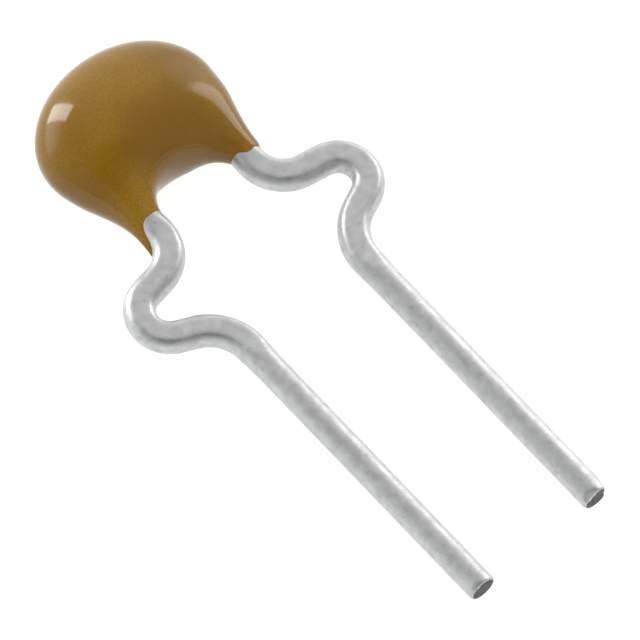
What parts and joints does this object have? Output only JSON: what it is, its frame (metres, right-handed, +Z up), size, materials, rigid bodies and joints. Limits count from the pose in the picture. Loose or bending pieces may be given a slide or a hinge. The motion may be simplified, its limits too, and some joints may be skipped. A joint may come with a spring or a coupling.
{
  "type": "ceramic capacitor",
  "caption": "Radial ceramic capacitor: a glossy ochre epoxy-dipped body with an arched underside, on tinned wire leads kinked outward below it.",
  "frame": {"origin": "centre of the footprint, on the surface that the part lies on: midway between the two legs, and midway between the top of the dome and the tip of the longer leg", "axes": "+Z up, away from the surface it lies on; +Y from the lead tips towards the body; +X across the leads, towards the right lead"},
  "size_m": [0.0052, 0.0116, 0.0018],
  "materials": {
    "epoxy_coat": "glossy dipped epoxy, fine speckle",
    "tinned_wire": "satin tin over drawn wire",
    "solder": "bright solder",
    "cap_metal": "plated end metal",
    "ceramic_body": "matt fired ceramic",
    "layer_metal": "fired metal film"
  },
  "bodies": {
    "root": {"coating": "epoxy_coat", "lead_left": "tinned_wire", "lead_right": "tinned_wire", "solder_left": "solder", "solder_right": "solder", "end_cap_left": "cap_metal", "end_cap_right": "cap_metal", "ceramic_block": "ceramic_body", "electrode_1": "layer_metal", "electrode_2": "layer_metal", "electrode_3": "layer_metal", "electrode_4": "layer_metal", "electrode_5": "layer_metal", "electrode_6": "layer_metal", "electrode_7": "layer_metal", "electrode_8": "layer_metal", "electrode_9": "layer_metal", "electrode_10": "layer_metal"}
  },
  "joints": []
}
